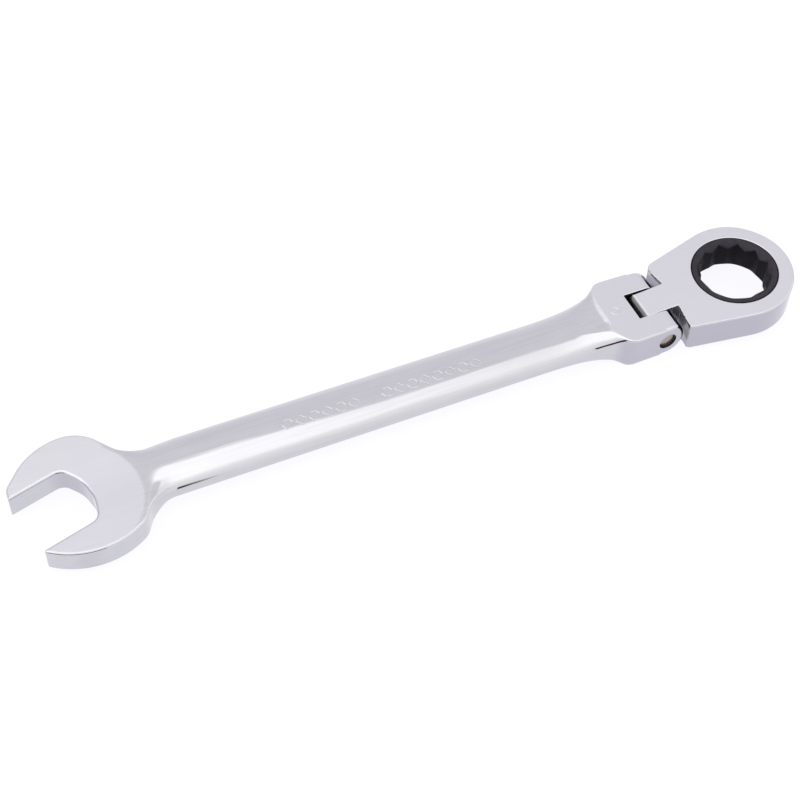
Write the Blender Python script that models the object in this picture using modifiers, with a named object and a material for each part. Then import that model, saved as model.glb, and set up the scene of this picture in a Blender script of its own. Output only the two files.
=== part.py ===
"""Combination wrench, one inch across the flats: an open end on one end of the shank,
and a flexible ratcheting ring head, hinged in a fork, on the other.

Metres, +Z up. The model is laid out about the hinge axis: +X runs from the hinge to the
ratchet head, -X along the shank to the open end, and Z = 0 is the forging's middle plane.
wrench_frame then sets the whole wrench on the world's origin, and flex_head_pivot holds
the head at its rest tilt.
"""

import math

import bmesh
import bpy
from mathutils import Vector

MM = 0.001

# Hinge and fork
HINGE_BORE_RADIUS = 3.70 * MM
FORK_THICKNESS = 14.8 * MM
FORK_HALF_WIDTH = 16.8 * MM
EAR_HALF_WIDTH = 16.3 * MM
EAR_END_RADIUS = 8.6 * MM
SLOT_WIDTH = 13.15 * MM
SLOT_DEPTH = 8.7 * MM
SHOULDER_LENGTH = 15.2 * MM
FLAT_LENGTH = 23.7 * MM

# Shank and open end
SHANK_HALF_WIDTH = 11.5 * MM
SHANK_HALF_THICKNESS = 5.4 * MM
SHANK_ROUNDNESS = 2.5
JAW_REACH = 230.3 * MM
JAW_ANGLE = math.radians(15.0)
JAW_THICKNESS = 10.3 * MM
ACROSS_FLATS = 25.4 * MM
JAW_RADIUS = 26.15 * MM
JAW_CENTRE = 4.9 * MM
JAW_TIP = 27.9 * MM
THROAT_DEPTH = 2.9 * MM

# Ratchet head
HEAD_TILT = math.radians(4.36)
HEAD_REACH = 40.3 * MM
HEAD_THICKNESS = 13.57 * MM
HEAD_RADIUS = 24.1 * MM
NECK_HALF_WIDTH = 18.0 * MM
RECESS_RADIUS = 11.7 * MM
TONGUE_WIDTH = 12.75 * MM
TONGUE_END_RADIUS = 7.9 * MM

# Drive gear and its seat
TEETH = 72
TOOTH_TIP_RADIUS = 19.2 * MM
TOOTH_ROOT_RADIUS = 18.55 * MM
STEEP_SHARE = 0.25
COLLAR_RADIUS = 17.65 * MM
BAND_TOP = 4.7 * MM
BAND_BOTTOM = -4.5 * MM
POINT_RADIUS = 15.0 * MM
NOTCH_RADIUS = 13.4 * MM
POINT_PHASE = math.radians(-7.0)
LEAD_IN = 0.9 * MM
LIP_THICKNESS = 1.88 * MM
BORE_RADIUS = 19.4 * MM
GROOVE_RADIUS = 20.7 * MM
RING_THICKNESS = 0.8 * MM
RING_GAP_ANGLE = math.radians(24.0)

# Pawl, its pocket and the two springs
PAWL_TEETH = 6
PAWL_HALF_WIDTH = 5.5 * MM
PAWL_HALF_HEIGHT = 3.4 * MM
PAWL_BACK = 26.0 * MM
POCKET_BACK = 27.2 * MM
SPRING_HOLE_RADIUS = 1.8 * MM
PAWL_SPRING_END = 33.5 * MM
WIRE_RADIUS = 0.22 * MM
COIL_RADIUS = 1.25 * MM
BALL_RADIUS = 2.0 * MM
BALL_HOLE_RADIUS = 2.06 * MM
BALL_HOLE_END = 20.5 * MM

CLEARANCE = 0.2 * MM
PIN_CLEARANCE = 0.07 * MM
PIN_RECESS = 1.5 * MM
THROUGH = 60.0 * MM

# colour, metallic and roughness
FINISHES = {
    "chrome": ((0.78, 0.77, 0.80), 1.0, 0.08),
    "black_oxide": ((0.035, 0.032, 0.040), 0.9, 0.35),
    "plain_steel": ((0.42, 0.38, 0.36), 1.0, 0.35),
    "spring_steel": ((0.50, 0.50, 0.52), 1.0, 0.25),
}


def clear_scene():
    for obj in list(bpy.data.objects):
        bpy.data.objects.remove(obj)


def new_collection(name, rendered=True):
    collection = bpy.data.collections.new(name)
    collection.hide_render = not rendered
    bpy.context.scene.collection.children.link(collection)
    return collection


def new_material(name):
    colour, metallic, roughness = FINISHES[name]
    material = bpy.data.materials.new(name)
    material.use_nodes = True
    shader = material.node_tree.nodes["Principled BSDF"]
    shader.inputs["Base Color"].default_value = (*colour, 1.0)
    shader.inputs["Metallic"].default_value = metallic
    shader.inputs["Roughness"].default_value = roughness
    material.diffuse_color = (*colour, 1.0)
    return material


clear_scene()
PARTS = new_collection("ratchet_wrench")
CUTTERS = new_collection("cutters", rendered=False)
MATERIALS = {name: new_material(name) for name in FINISHES}


def new_object(name, data, collection, parent, location=(0, 0, 0), rotation=(0, 0, 0)):
    obj = bpy.data.objects.new(name, data)
    collection.objects.link(obj)
    obj.parent = parent
    obj.location = location
    obj.rotation_euler = rotation
    return obj


def finish_part(obj, material):
    obj.data.materials.clear()
    obj.data.materials.append(MATERIALS[material])
    obj.data.shade_smooth()
    obj.data.set_sharp_from_angle(angle=math.radians(30))
    return obj


def as_cutter(obj):
    obj.hide_render = True
    obj.display_type = "WIRE"
    return obj


def boolean(obj, other, operation):
    modifier = obj.modifiers.new(f"{operation.lower()}_{other.name}", "BOOLEAN")
    modifier.operation = operation
    modifier.solver = "EXACT"
    modifier.object = other


def bevel(obj, width, angle=50):
    modifier = obj.modifiers.new("bevel", "BEVEL")
    modifier.width = width
    modifier.segments = 2
    modifier.limit_method = "ANGLE"
    modifier.angle_limit = math.radians(angle)


def arc(centre, radius, start, end, steps):
    """Points on an arc, both ends included."""
    turn = (end - start) / steps
    angles = [start + turn * i for i in range(steps + 1)]
    return [(centre[0] + radius * math.cos(a), centre[1] + radius * math.sin(a)) for a in angles]


def filleted(corners, steps=6):
    """A closed outline from (x, y, radius) corners, each rounded by its radius."""
    points = []
    count = len(corners)
    for i, (x, y, radius) in enumerate(corners):
        corner = Vector((x, y))
        if radius == 0:
            points.append((x, y))
            continue
        back = (Vector(corners[i - 1][:2]) - corner).normalized()
        ahead = (Vector(corners[(i + 1) % count][:2]) - corner).normalized()
        half = back.angle(ahead) / 2
        centre = corner + (back + ahead).normalized() * (radius / math.sin(half))
        first = corner + back * (radius / math.tan(half)) - centre
        last = corner + ahead * (radius / math.tan(half)) - centre
        start = math.atan2(first.y, first.x)
        sweep = math.remainder(math.atan2(last.y, last.x) - start, math.tau)
        points += arc(centre, radius, start, start + sweep, steps)
    return points


def mesh_from_curve(name, curve):
    """The curve's own surface as a closed mesh."""
    guide = new_object(name, curve, CUTTERS, None)
    evaluated = guide.evaluated_get(bpy.context.evaluated_depsgraph_get())
    mesh = bpy.data.meshes.new_from_object(evaluated)
    mesh.name = name
    bpy.data.objects.remove(guide)
    bm = bmesh.new()
    bm.from_mesh(mesh)
    bmesh.ops.remove_doubles(bm, verts=bm.verts, dist=1e-6)
    bmesh.ops.recalc_face_normals(bm, faces=bm.faces)
    bm.to_mesh(mesh)
    bm.free()
    return mesh


def plate_mesh(name, points, thickness):
    """A flat outline given half its thickness each way along Z."""
    curve = bpy.data.curves.new(name, "CURVE")
    curve.dimensions = "2D"
    curve.fill_mode = "BOTH"
    curve.extrude = thickness / 2
    spline = curve.splines.new("POLY")
    spline.points.add(len(points) - 1)
    for point, (x, y) in zip(spline.points, points):
        point.co = (x, y, 0, 1)
    spline.use_cyclic_u = True
    return mesh_from_curve(name, curve)


def cylinder_mesh(name, radius, length, segments=64, end_radius=None):
    """A cylinder or cone along Z about the origin; end_radius is at +Z."""
    mesh = bpy.data.meshes.new(name)
    bm = bmesh.new()
    bmesh.ops.create_cone(
        bm,
        cap_ends=True,
        segments=segments,
        radius1=radius,
        radius2=radius if end_radius is None else end_radius,
        depth=length,
    )
    bm.to_mesh(mesh)
    bm.free()
    return mesh


def block_mesh(name, size):
    mesh = bpy.data.meshes.new(name)
    bm = bmesh.new()
    bmesh.ops.create_cube(bm, size=1)
    bmesh.ops.scale(bm, vec=size, verts=bm.verts)
    bm.to_mesh(mesh)
    bm.free()
    return mesh


def turned_mesh(name, profile):
    """A closed profile of (radius, height) points, as an edge loop for a Screw about Z."""
    mesh = bpy.data.meshes.new(name)
    points = [(radius, 0, height) for radius, height in profile]
    edges = [(i, (i + 1) % len(points)) for i in range(len(points))]
    mesh.from_pydata(points, edges, [])
    return mesh


def screw(obj, steps=72):
    modifier = obj.modifiers.new("screw", "SCREW")
    modifier.steps = steps
    modifier.render_steps = steps
    modifier.use_merge_vertices = True
    modifier.merge_threshold = 1e-5


def spring_curve(name, start, end, turns=6, points_per_turn=12):
    """A compression coil along X with closed, flat-lying end turns."""
    curve = bpy.data.curves.new(name, "CURVE")
    curve.dimensions = "3D"
    curve.bevel_depth = WIRE_RADIUS
    curve.bevel_resolution = 2
    curve.use_fill_caps = True
    spline = curve.splines.new("POLY")
    count = turns * points_per_turn
    spline.points.add(count)
    pitch = 2.3 * WIRE_RADIUS
    low = start + WIRE_RADIUS
    open_length = end - start - 2 * WIRE_RADIUS - 2 * pitch
    for i, point in enumerate(spline.points):
        turn = i / points_per_turn
        along = pitch * min(turn, 1) + pitch * max(turn - (turns - 1), 0)
        along += open_length * min(max((turn - 1) / (turns - 2), 0), 1)
        angle = math.tau * turn
        y = COIL_RADIUS * math.cos(angle)
        z = COIL_RADIUS * math.sin(angle)
        point.co = (low + along, y, z, 1)
    return mesh_from_curve(name, curve)


# ---------------------------------------------------------------- forged body


def jaw_outline():
    """The open end in plan, in its own axes: +U out of the jaw, V across it."""
    half_gap = ACROSS_FLATS / 2
    centre = (JAW_CENTRE, 0.4 * MM)
    tip = math.acos((26.4 * MM - JAW_CENTRE) / JAW_RADIUS)
    upper = arc(centre, JAW_RADIUS, tip, math.radians(102), 20)
    lower = arc((4.4 * MM, 4.6 * MM), 30.3 * MM, math.radians(-104), math.radians(-40.5), 16)
    inner = [
        (JAW_TIP, -half_gap, 0.6 * MM),
        (6.6 * MM, -half_gap, 4.5 * MM),
        (THROAT_DEPTH, -4.5 * MM, 14 * MM),
        (THROAT_DEPTH, 4.5 * MM, 14 * MM),
        (6.6 * MM, half_gap, 4.5 * MM),
        (JAW_TIP, half_gap, 0.6 * MM),
    ]
    neck = [
        (-8.5 * MM, 22.9 * MM, 9 * MM),
        (-16.4 * MM, 5.4 * MM, 7 * MM),
        (-28.0 * MM, 0.0, 0),
        (-30.0 * MM, -15.0 * MM, 0),
        (-17.4 * MM, -13.4 * MM, 8 * MM),
        (-7.8 * MM, -22.4 * MM, 9 * MM),
    ]
    corners = inner
    corners += [(x, y, 0) for x, y in upper]
    corners += neck
    corners += [(x, y, 0) for x, y in lower]
    return filleted(corners)


def to_wrench(u, v):
    """Jaw axes to the wrench's: the opening points 15 degrees off the shank."""
    x = -JAW_REACH - u * math.cos(JAW_ANGLE) - v * math.sin(JAW_ANGLE)
    y = -u * math.sin(JAW_ANGLE) + v * math.cos(JAW_ANGLE)
    return x, y


def shank_sections():
    """(x, half width, half thickness, roundness) along the loft, open end first."""
    wide = SHANK_HALF_WIDTH
    thin = SHANK_HALF_THICKNESS
    full = FORK_THICKNESS / 2 - 0.1 * MM
    return [
        (-222 * MM, 0.84 * wide, 0.86 * thin, 3.4),
        (-214 * MM, 0.95 * wide, 0.92 * thin, 3.0),
        (-206 * MM, wide, 0.97 * thin, 2.8),
        (-196 * MM, wide, thin, SHANK_ROUNDNESS),
        (-50 * MM, wide, thin, SHANK_ROUNDNESS),
        (-42 * MM, 1.005 * wide, 1.01 * thin, 2.8),
        (-36 * MM, 1.02 * wide, 1.08 * thin, 3.0),
        (-30 * MM, 1.06 * wide, 1.19 * thin, 3.4),
        (-25 * MM, 1.13 * wide, 1.32 * thin, 4.2),
        (-20.5 * MM, 1.24 * wide, full, 6.0),
        (-17 * MM, 0.95 * FORK_HALF_WIDTH, full, 9.0),
        (-12 * MM, 0.97 * FORK_HALF_WIDTH, full, 12.0),
    ]


def shank_mesh(points_around=40):
    """A loft through superellipse sections, closed at both ends."""
    mesh = bpy.data.meshes.new("shank")
    bm = bmesh.new()
    rings = []
    for x, half_width, half_thickness, roundness in shank_sections():
        ring = []
        for i in range(points_around):
            angle = math.tau * (i + 0.5) / points_around
            c = math.cos(angle)
            s = math.sin(angle)
            y = half_width * math.copysign(abs(c) ** (2 / roundness), c)
            z = half_thickness * math.copysign(abs(s) ** (2 / roundness), s)
            ring.append(bm.verts.new((x, y, z)))
        rings.append(ring)
    for first, second in zip(rings, rings[1:]):
        for i in range(points_around):
            j = (i + 1) % points_around
            bm.faces.new((first[i], first[j], second[j], second[i]))
    bm.faces.new(rings[0])
    bm.faces.new(rings[-1])
    bmesh.ops.recalc_face_normals(bm, faces=bm.faces)
    bm.to_mesh(mesh)
    bm.free()
    return mesh


def side_profile(end_radius, half_height, far_x):
    """A bar's side view, ending in an arc about the hinge on the side away from far_x."""
    tip = math.asin(half_height / end_radius)
    side = 1 if far_x < 0 else -1
    if side > 0:
        points = arc((0, 0), end_radius, tip, -tip, 16)
        return points + [(far_x, -half_height), (far_x, half_height)]
    points = arc((0, 0), end_radius, math.pi - tip, math.pi + tip, 16)
    return points + [(far_x, -half_height), (far_x, half_height)]


def fork_outline():
    """The milled flat of the fork in plan, from its shoulder to the ears' ends."""
    back = [
        (-FLAT_LENGTH, 3.0 * MM, 2 * MM),
        (-21.6 * MM, 11.5 * MM, 8 * MM),
        (-18.2 * MM, 17.1 * MM, 3.5 * MM),
        (-SHOULDER_LENGTH, FORK_HALF_WIDTH, 4 * MM),
        (EAR_END_RADIUS + MM, EAR_HALF_WIDTH - 0.4 * MM, 0),
    ]
    front = [(x, -y, r) for x, y, r in reversed(back)]
    return filleted(back + front)


def make_wrench_body(frame):
    name = "wrench_body"
    body = new_object(name, shank_mesh(), PARTS, frame)

    points = fork_outline()
    fork = new_object("fork", plate_mesh("fork", points, FORK_THICKNESS), CUTTERS, frame)
    profile = side_profile(EAR_END_RADIUS, FORK_THICKNESS / 2 + 0.5 * MM, -THROUGH)
    mesh = plate_mesh("ear_ends", profile, THROUGH)
    ear_ends = new_object("ear_ends", mesh, CUTTERS, frame, rotation=(math.pi / 2, 0, 0))
    boolean(fork, as_cutter(ear_ends), "INTERSECT")
    bevel(fork, 0.5 * MM)
    boolean(body, as_cutter(fork), "UNION")

    points = [to_wrench(u, v) for u, v in jaw_outline()]
    jaw = new_object("jaw", plate_mesh("jaw", points, JAW_THICKNESS), CUTTERS, frame)
    bevel(jaw, 0.6 * MM)
    boolean(body, as_cutter(jaw), "UNION")

    slot_length = THROUGH
    mesh = block_mesh("slot", (slot_length, SLOT_WIDTH, THROUGH))
    slot = new_object("slot", mesh, CUTTERS, frame, (slot_length / 2 - SLOT_DEPTH, 0, 0))
    boolean(body, as_cutter(slot), "DIFFERENCE")
    boolean(body, hinge_bore(frame, "ear_bore"), "DIFFERENCE")

    length = BALL_HOLE_END - SLOT_DEPTH + MM
    mesh = cylinder_mesh("ball_hole", BALL_HOLE_RADIUS, length, 24)
    middle = -BALL_HOLE_END + length / 2
    hole = new_object("ball_hole", mesh, CUTTERS, frame, (middle, 0, 0), (0, math.pi / 2, 0))
    boolean(body, as_cutter(hole), "DIFFERENCE")
    return finish_part(body, "chrome")


def hinge_bore(parent, name):
    mesh = cylinder_mesh(name, HINGE_BORE_RADIUS, THROUGH, 48)
    return as_cutter(new_object(name, mesh, CUTTERS, parent, rotation=(math.pi / 2, 0, 0)))


def make_hinge_pin(frame):
    radius = HINGE_BORE_RADIUS - PIN_CLEARANCE
    half_length = EAR_HALF_WIDTH - PIN_RECESS
    edge = 0.4 * MM
    profile = [
        (0, half_length),
        (radius - edge, half_length),
        (radius, half_length - edge),
        (radius, -half_length + edge),
        (radius - edge, -half_length),
        (0, -half_length),
    ]
    pin = new_object("hinge_pin", turned_mesh("hinge_pin", profile), PARTS, frame)
    pin.rotation_euler = (math.pi / 2, 0, 0)
    screw(pin, 48)
    return finish_part(pin, "plain_steel")


def make_friction_ball(frame):
    """The ball stands out of the slot's bottom and rubs on the tongue's round end."""
    mesh = bpy.data.meshes.new("friction_ball")
    bm = bmesh.new()
    bmesh.ops.create_uvsphere(bm, u_segments=24, v_segments=16, radius=BALL_RADIUS)
    bm.to_mesh(mesh)
    bm.free()
    x = -TONGUE_END_RADIUS - 0.03 * MM - BALL_RADIUS
    ball = new_object("friction_ball", mesh, PARTS, frame, (x, 0, 0))
    return finish_part(ball, "spring_steel")


def make_friction_spring(frame):
    start = -BALL_HOLE_END + CLEARANCE
    end = -TONGUE_END_RADIUS - 2 * BALL_RADIUS - 0.05 * MM
    mesh = spring_curve("friction_spring", start, end)
    return finish_part(new_object("friction_spring", mesh, PARTS, frame), "spring_steel")


# ---------------------------------------------------------------- flexible head


def head_outline():
    """The head in plan about the hinge: round eye, straight flanks, shoulders and tongue."""
    shoulder = math.sqrt(RECESS_RADIUS**2 - (HEAD_THICKNESS / 2) ** 2)
    run = HEAD_REACH - shoulder
    far = math.hypot(run, NECK_HALF_WIDTH)
    tangent = math.pi - math.atan2(NECK_HALF_WIDTH, run) - math.acos(HEAD_RADIUS / far)
    eye = arc((HEAD_REACH, 0), HEAD_RADIUS, -tangent, tangent, 72)
    half_tongue = TONGUE_WIDTH / 2
    far_neck = [
        (shoulder, NECK_HALF_WIDTH, 2.2 * MM),
        (shoulder, half_tongue, 0),
        (-TONGUE_END_RADIUS - MM, half_tongue, 0),
    ]
    near_neck = [(x, -y, r) for x, y, r in reversed(far_neck)]
    return filleted([(x, y, 0) for x, y in eye] + far_neck + near_neck)


def make_ratchet_head(pivot):
    name = "ratchet_head"
    head = new_object(name, plate_mesh(name, head_outline(), HEAD_THICKNESS), PARTS, pivot)
    profile = side_profile(TONGUE_END_RADIUS, HEAD_THICKNESS / 2 + 0.5 * MM, 2 * THROUGH)
    mesh = plate_mesh("tongue_end", profile, THROUGH)
    tongue_end = new_object("tongue_end", mesh, CUTTERS, pivot, rotation=(math.pi / 2, 0, 0))
    bevel(head, 0.4 * MM)
    boolean(head, as_cutter(tongue_end), "INTERSECT")

    width = NECK_HALF_WIDTH
    for side, label in ((1, "far"), (-1, "near")):
        mesh = cylinder_mesh(f"recess_{label}", RECESS_RADIUS, width, 96)
        place = (0, side * (TONGUE_WIDTH + width) / 2, 0)
        recess = new_object(mesh.name, mesh, CUTTERS, pivot, place, (math.pi / 2, 0, 0))
        boolean(head, as_cutter(recess), "DIFFERENCE")
    boolean(head, hinge_bore(pivot, "tongue_bore"), "DIFFERENCE")

    seat_top = HEAD_THICKNESS / 2 - LIP_THICKNESS
    seat_length = seat_top + HEAD_THICKNESS
    groove_length = RING_THICKNESS + CLEARANCE
    groove_middle = BAND_BOTTOM - CLEARANCE - RING_THICKNESS / 2
    bores = [
        ("lip_bore", COLLAR_RADIUS + 0.1 * MM, THROUGH, 0),
        ("gear_seat", BORE_RADIUS, seat_length, seat_top - seat_length / 2),
        ("ring_groove", GROOVE_RADIUS, groove_length, groove_middle),
    ]
    for label, radius, length, middle in bores:
        mesh = cylinder_mesh(label, radius, length, 96)
        bore = new_object(label, mesh, CUTTERS, pivot, (HEAD_REACH, 0, middle))
        boolean(head, as_cutter(bore), "DIFFERENCE")

    length = POCKET_BACK - COLLAR_RADIUS
    size = (length, 2 * (PAWL_HALF_WIDTH + CLEARANCE), 2 * (PAWL_HALF_HEIGHT + CLEARANCE))
    place = (HEAD_REACH - POCKET_BACK + length / 2, 0, 0)
    pocket = new_object("pawl_pocket", block_mesh("pawl_pocket", size), CUTTERS, pivot, place)
    boolean(head, as_cutter(pocket), "DIFFERENCE")

    length = PAWL_SPRING_END - POCKET_BACK + MM
    mesh = cylinder_mesh("spring_hole", SPRING_HOLE_RADIUS, length, 24)
    place = (HEAD_REACH - PAWL_SPRING_END + length / 2, 0, 0)
    hole = new_object("spring_hole", mesh, CUTTERS, pivot, place, (0, math.pi / 2, 0))
    boolean(head, as_cutter(hole), "DIFFERENCE")
    return finish_part(head, "chrome")


def tooth_outline(root, tip, first, teeth):
    """Saw teeth: a long ramp up to the tip and a steep drop, as the angle grows."""
    pitch = math.tau / TEETH
    points = []
    for i in range(teeth):
        start = first + i * pitch
        points.append((root * math.cos(start), root * math.sin(start)))
        crest = start + pitch * (1 - STEEP_SHARE)
        points.append((tip * math.cos(crest), tip * math.sin(crest)))
    return points


def drive_star():
    """The twelve-point socket: corners and notches in turn."""
    points = []
    for i in range(12):
        corner = POINT_PHASE + i * math.tau / 12
        notch = corner + math.tau / 24
        points.append((POINT_RADIUS * math.cos(corner), POINT_RADIUS * math.sin(corner)))
        points.append((NOTCH_RADIUS * math.cos(notch), NOTCH_RADIUS * math.sin(notch)))
    return points


def make_drive_gear(pivot):
    name = "drive_gear"
    axis = (HEAD_REACH, 0, 0)
    half_height = HEAD_THICKNESS / 2 - 0.05 * MM
    gear = new_object(name, cylinder_mesh(name, COLLAR_RADIUS, 2 * half_height, 96), PARTS, pivot, axis)
    bevel(gear, 0.3 * MM)

    outline = tooth_outline(TOOTH_ROOT_RADIUS, TOOTH_TIP_RADIUS, math.pi, TEETH)
    mesh = plate_mesh("toothed_band", outline, BAND_TOP - BAND_BOTTOM)
    place = (HEAD_REACH, 0, (BAND_TOP + BAND_BOTTOM) / 2)
    band = new_object("toothed_band", mesh, CUTTERS, pivot, place)
    boolean(gear, as_cutter(band), "UNION")

    mesh = plate_mesh("drive_star", drive_star(), THROUGH)
    star = new_object("drive_star", mesh, CUTTERS, pivot, axis)
    boolean(gear, as_cutter(star), "DIFFERENCE")

    mouth = POINT_RADIUS + 0.5 * MM
    slope = (mouth - NOTCH_RADIUS) / LEAD_IN
    overshoot = 0.5 * MM
    cone_length = LEAD_IN + 2 * overshoot
    small = NOTCH_RADIUS - slope * overshoot
    large = mouth + slope * overshoot
    middle = half_height - LEAD_IN / 2
    for side, label in ((1, "lead_in_top"), (-1, "lead_in_bottom")):
        mesh = cylinder_mesh(label, small, cone_length, 96, large)
        turn = (0, 0, 0) if side > 0 else (math.pi, 0, 0)
        cone = new_object(label, mesh, CUTTERS, pivot, (HEAD_REACH, 0, side * middle), turn)
        boolean(gear, as_cutter(cone), "DIFFERENCE")
    return finish_part(gear, "black_oxide")


def make_retaining_ring(pivot):
    name = "gear_retaining_ring"
    start = math.radians(60) + RING_GAP_ANGLE / 2
    end = start + math.tau - RING_GAP_ANGLE
    outer = arc((0, 0), GROOVE_RADIUS - CLEARANCE, start, end, 60)
    inner = arc((0, 0), COLLAR_RADIUS + CLEARANCE, end, start, 60)
    middle = BAND_BOTTOM - CLEARANCE - RING_THICKNESS / 2
    mesh = plate_mesh(name, outer + inner, RING_THICKNESS)
    ring = new_object(name, mesh, PARTS, pivot, (HEAD_REACH, 0, middle))
    return finish_part(ring, "spring_steel")


def make_pawl(pivot):
    """A block whose front carries the gear's teeth in reverse, hollowed for its spring."""
    name = "pawl"
    gap = 0.1 * MM
    pitch = math.tau / TEETH
    first = math.pi - PAWL_TEETH / 2 * pitch
    front = tooth_outline(TOOTH_ROOT_RADIUS + gap, TOOTH_TIP_RADIUS + gap, first, PAWL_TEETH)
    edge = 1.0 * MM
    back = [
        (-PAWL_BACK + edge, -PAWL_HALF_WIDTH),
        (-PAWL_BACK, -PAWL_HALF_WIDTH + edge),
        (-PAWL_BACK, PAWL_HALF_WIDTH - edge),
        (-PAWL_BACK + edge, PAWL_HALF_WIDTH),
    ]
    ends = [(-TOOTH_TIP_RADIUS - gap, -PAWL_HALF_WIDTH), (-TOOTH_TIP_RADIUS - gap, PAWL_HALF_WIDTH)]
    outline = [ends[1], *front, ends[0], *back]
    mesh = plate_mesh(name, outline, 2 * PAWL_HALF_HEIGHT)
    pawl = new_object(name, mesh, PARTS, pivot, (HEAD_REACH, 0, 0))
    depth = 2.5 * MM
    mesh = cylinder_mesh("pawl_hole", SPRING_HOLE_RADIUS, 2 * depth, 24)
    place = (HEAD_REACH - PAWL_BACK, 0, 0)
    hole = new_object("pawl_hole", mesh, CUTTERS, pivot, place, (0, math.pi / 2, 0))
    boolean(pawl, as_cutter(hole), "DIFFERENCE")
    return finish_part(pawl, "plain_steel")


def make_pawl_spring(pivot):
    start = HEAD_REACH - PAWL_SPRING_END + CLEARANCE
    end = HEAD_REACH - PAWL_BACK + 2.5 * MM - CLEARANCE
    mesh = spring_curve("pawl_spring", start, end, turns=7)
    return finish_part(new_object("pawl_spring", mesh, PARTS, pivot), "spring_steel")


# ---------------------------------------------------------------- assembly


def evaluated_bounds():
    """Lowest and highest corner of everything in the parts collection."""
    bpy.context.view_layer.update()
    graph = bpy.context.evaluated_depsgraph_get()
    low = Vector((math.inf,) * 3)
    high = -low
    for obj in PARTS.objects:
        if obj.type == "EMPTY":
            continue
        evaluated = obj.evaluated_get(graph)
        for vertex in evaluated.data.vertices:
            place = evaluated.matrix_world @ vertex.co
            low = Vector(map(min, low, place))
            high = Vector(map(max, high, place))
    return low, high


def build():
    frame = new_object("wrench_frame", None, PARTS, None)
    pivot = new_object("flex_head_pivot", None, PARTS, frame, rotation=(0, -HEAD_TILT, 0))
    make_wrench_body(frame)
    make_hinge_pin(frame)
    make_friction_ball(frame)
    make_friction_spring(frame)
    make_ratchet_head(pivot)
    make_drive_gear(pivot)
    make_retaining_ring(pivot)
    make_pawl(pivot)
    make_pawl_spring(pivot)
    low, high = evaluated_bounds()
    frame.location = (-(low.x + high.x) / 2, -(low.y + high.y) / 2, -low.z)


build()
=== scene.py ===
"""Looks of the ratchet wrench: chrome forging, flexible ring head, black drive gear.

The three big pieces are made from distance functions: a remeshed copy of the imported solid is
moved onto the surface where the function is zero, so that its edges are round and its flats
are flat. Lengths inside these functions are millimetres, measured from the hinge axis.
"""

import math

import bmesh
import bpy
import numpy as np
from mathutils import Matrix, Vector


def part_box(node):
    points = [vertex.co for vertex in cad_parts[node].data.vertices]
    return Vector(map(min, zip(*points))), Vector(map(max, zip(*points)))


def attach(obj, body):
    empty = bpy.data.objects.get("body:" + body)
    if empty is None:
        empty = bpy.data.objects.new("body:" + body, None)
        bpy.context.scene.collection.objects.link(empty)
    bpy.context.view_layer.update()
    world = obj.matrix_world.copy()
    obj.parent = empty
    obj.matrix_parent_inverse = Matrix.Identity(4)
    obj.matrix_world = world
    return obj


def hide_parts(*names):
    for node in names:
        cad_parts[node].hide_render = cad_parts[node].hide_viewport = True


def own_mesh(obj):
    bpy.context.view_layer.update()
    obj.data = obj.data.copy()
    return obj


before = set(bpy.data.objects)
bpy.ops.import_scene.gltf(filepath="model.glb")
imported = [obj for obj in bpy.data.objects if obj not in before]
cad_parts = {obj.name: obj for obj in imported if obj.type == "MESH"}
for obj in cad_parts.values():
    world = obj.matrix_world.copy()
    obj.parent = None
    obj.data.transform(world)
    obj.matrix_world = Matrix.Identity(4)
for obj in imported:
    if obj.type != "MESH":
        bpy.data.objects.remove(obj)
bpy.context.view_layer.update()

MM = 0.001
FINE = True


def middle(node):
    """Centre of a node's box, in metres."""
    low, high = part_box(node)
    return (low + high) / 2


HINGE = middle("hinge_pin")
GEAR_CENTRE = middle("drive_gear")
TILT = math.atan2(GEAR_CENTRE.z - HINGE.z, GEAR_CENTRE.x - HINGE.x)
TO_WORLD = Matrix.Translation(HINGE) @ Matrix.Scale(MM, 4)
HEAD_TO_WORLD = Matrix.Translation(HINGE) @ Matrix.Rotation(-TILT, 4, "Y") @ Matrix.Scale(MM, 4)

# Millimetres: hinge and fork
PIN_BORE = 3.70
FORK_HALF = 7.4
EAR_RADIUS = 7.8
FORK_START = -13.0
FORK_SIDE = 16.8
EAR_TAPER = 0.02
SLOT_HALF = 6.575
SLOT_BOTTOM = -8.7
BALL_HOLE_RADIUS = 2.06
BALL_HOLE_END = -20.5

# Shank and open end
SHANK_HALF_WIDTH = 11.5
SHANK_HALF_HEIGHT = 5.4
SHANK_POWER = 2.5
JAW_REACH = 230.3
JAW_ANGLE = math.radians(15)
JAW_HALF = 5.15
HALF_GAP = 12.7

# Ring head and gear
REACH = 40.3
HEAD_HALF = 6.785
EYE_RADIUS = 24.1
SHOULDER = 9.53
NECK_HALF = 18.0
RECESS = 11.7
NEAR_REACH = 8.3
FAR_SLANT = 0.19
TONGUE_HALF = 6.375
TONGUE_RADIUS = 7.9
LIP_BORE = 17.75
SEAT_BORE = 19.4
SEAT_TOP = 4.905
POCKET_BACK = 27.2
POCKET_HALF_DEPTH = 4.775
POCKET_HALF_WIDTH = 5.7
POCKET_HALF_HEIGHT = 3.6
SPRING_HOLE_MIDDLE = 30
SPRING_HOLE_HALF = 3.5
SPRING_HOLE_RADIUS = 1.8
GEAR_HALF = HEAD_HALF - 0.05
COLLAR = 17.65
BAND_TOP = 4.7
BAND_BOTTOM = -4.5
TEETH = 72
TOOTH_ROOT = 18.55
TOOTH_TIP = 19.2
POINT_RADIUS = 15.0
NOTCH_RADIUS = 13.4
POINT_PHASE = math.radians(-7)
MOUTH = 15.5

# Hinge pin and springs
PIN_RADIUS = 3.63
PIN_FACE = 3.05
PIN_HALF_LENGTH = 14.8
WIRE_RADIUS = 0.22
COIL_RADIUS = 1.25


# ---------------------------------------------------------------- distance functions


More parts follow.
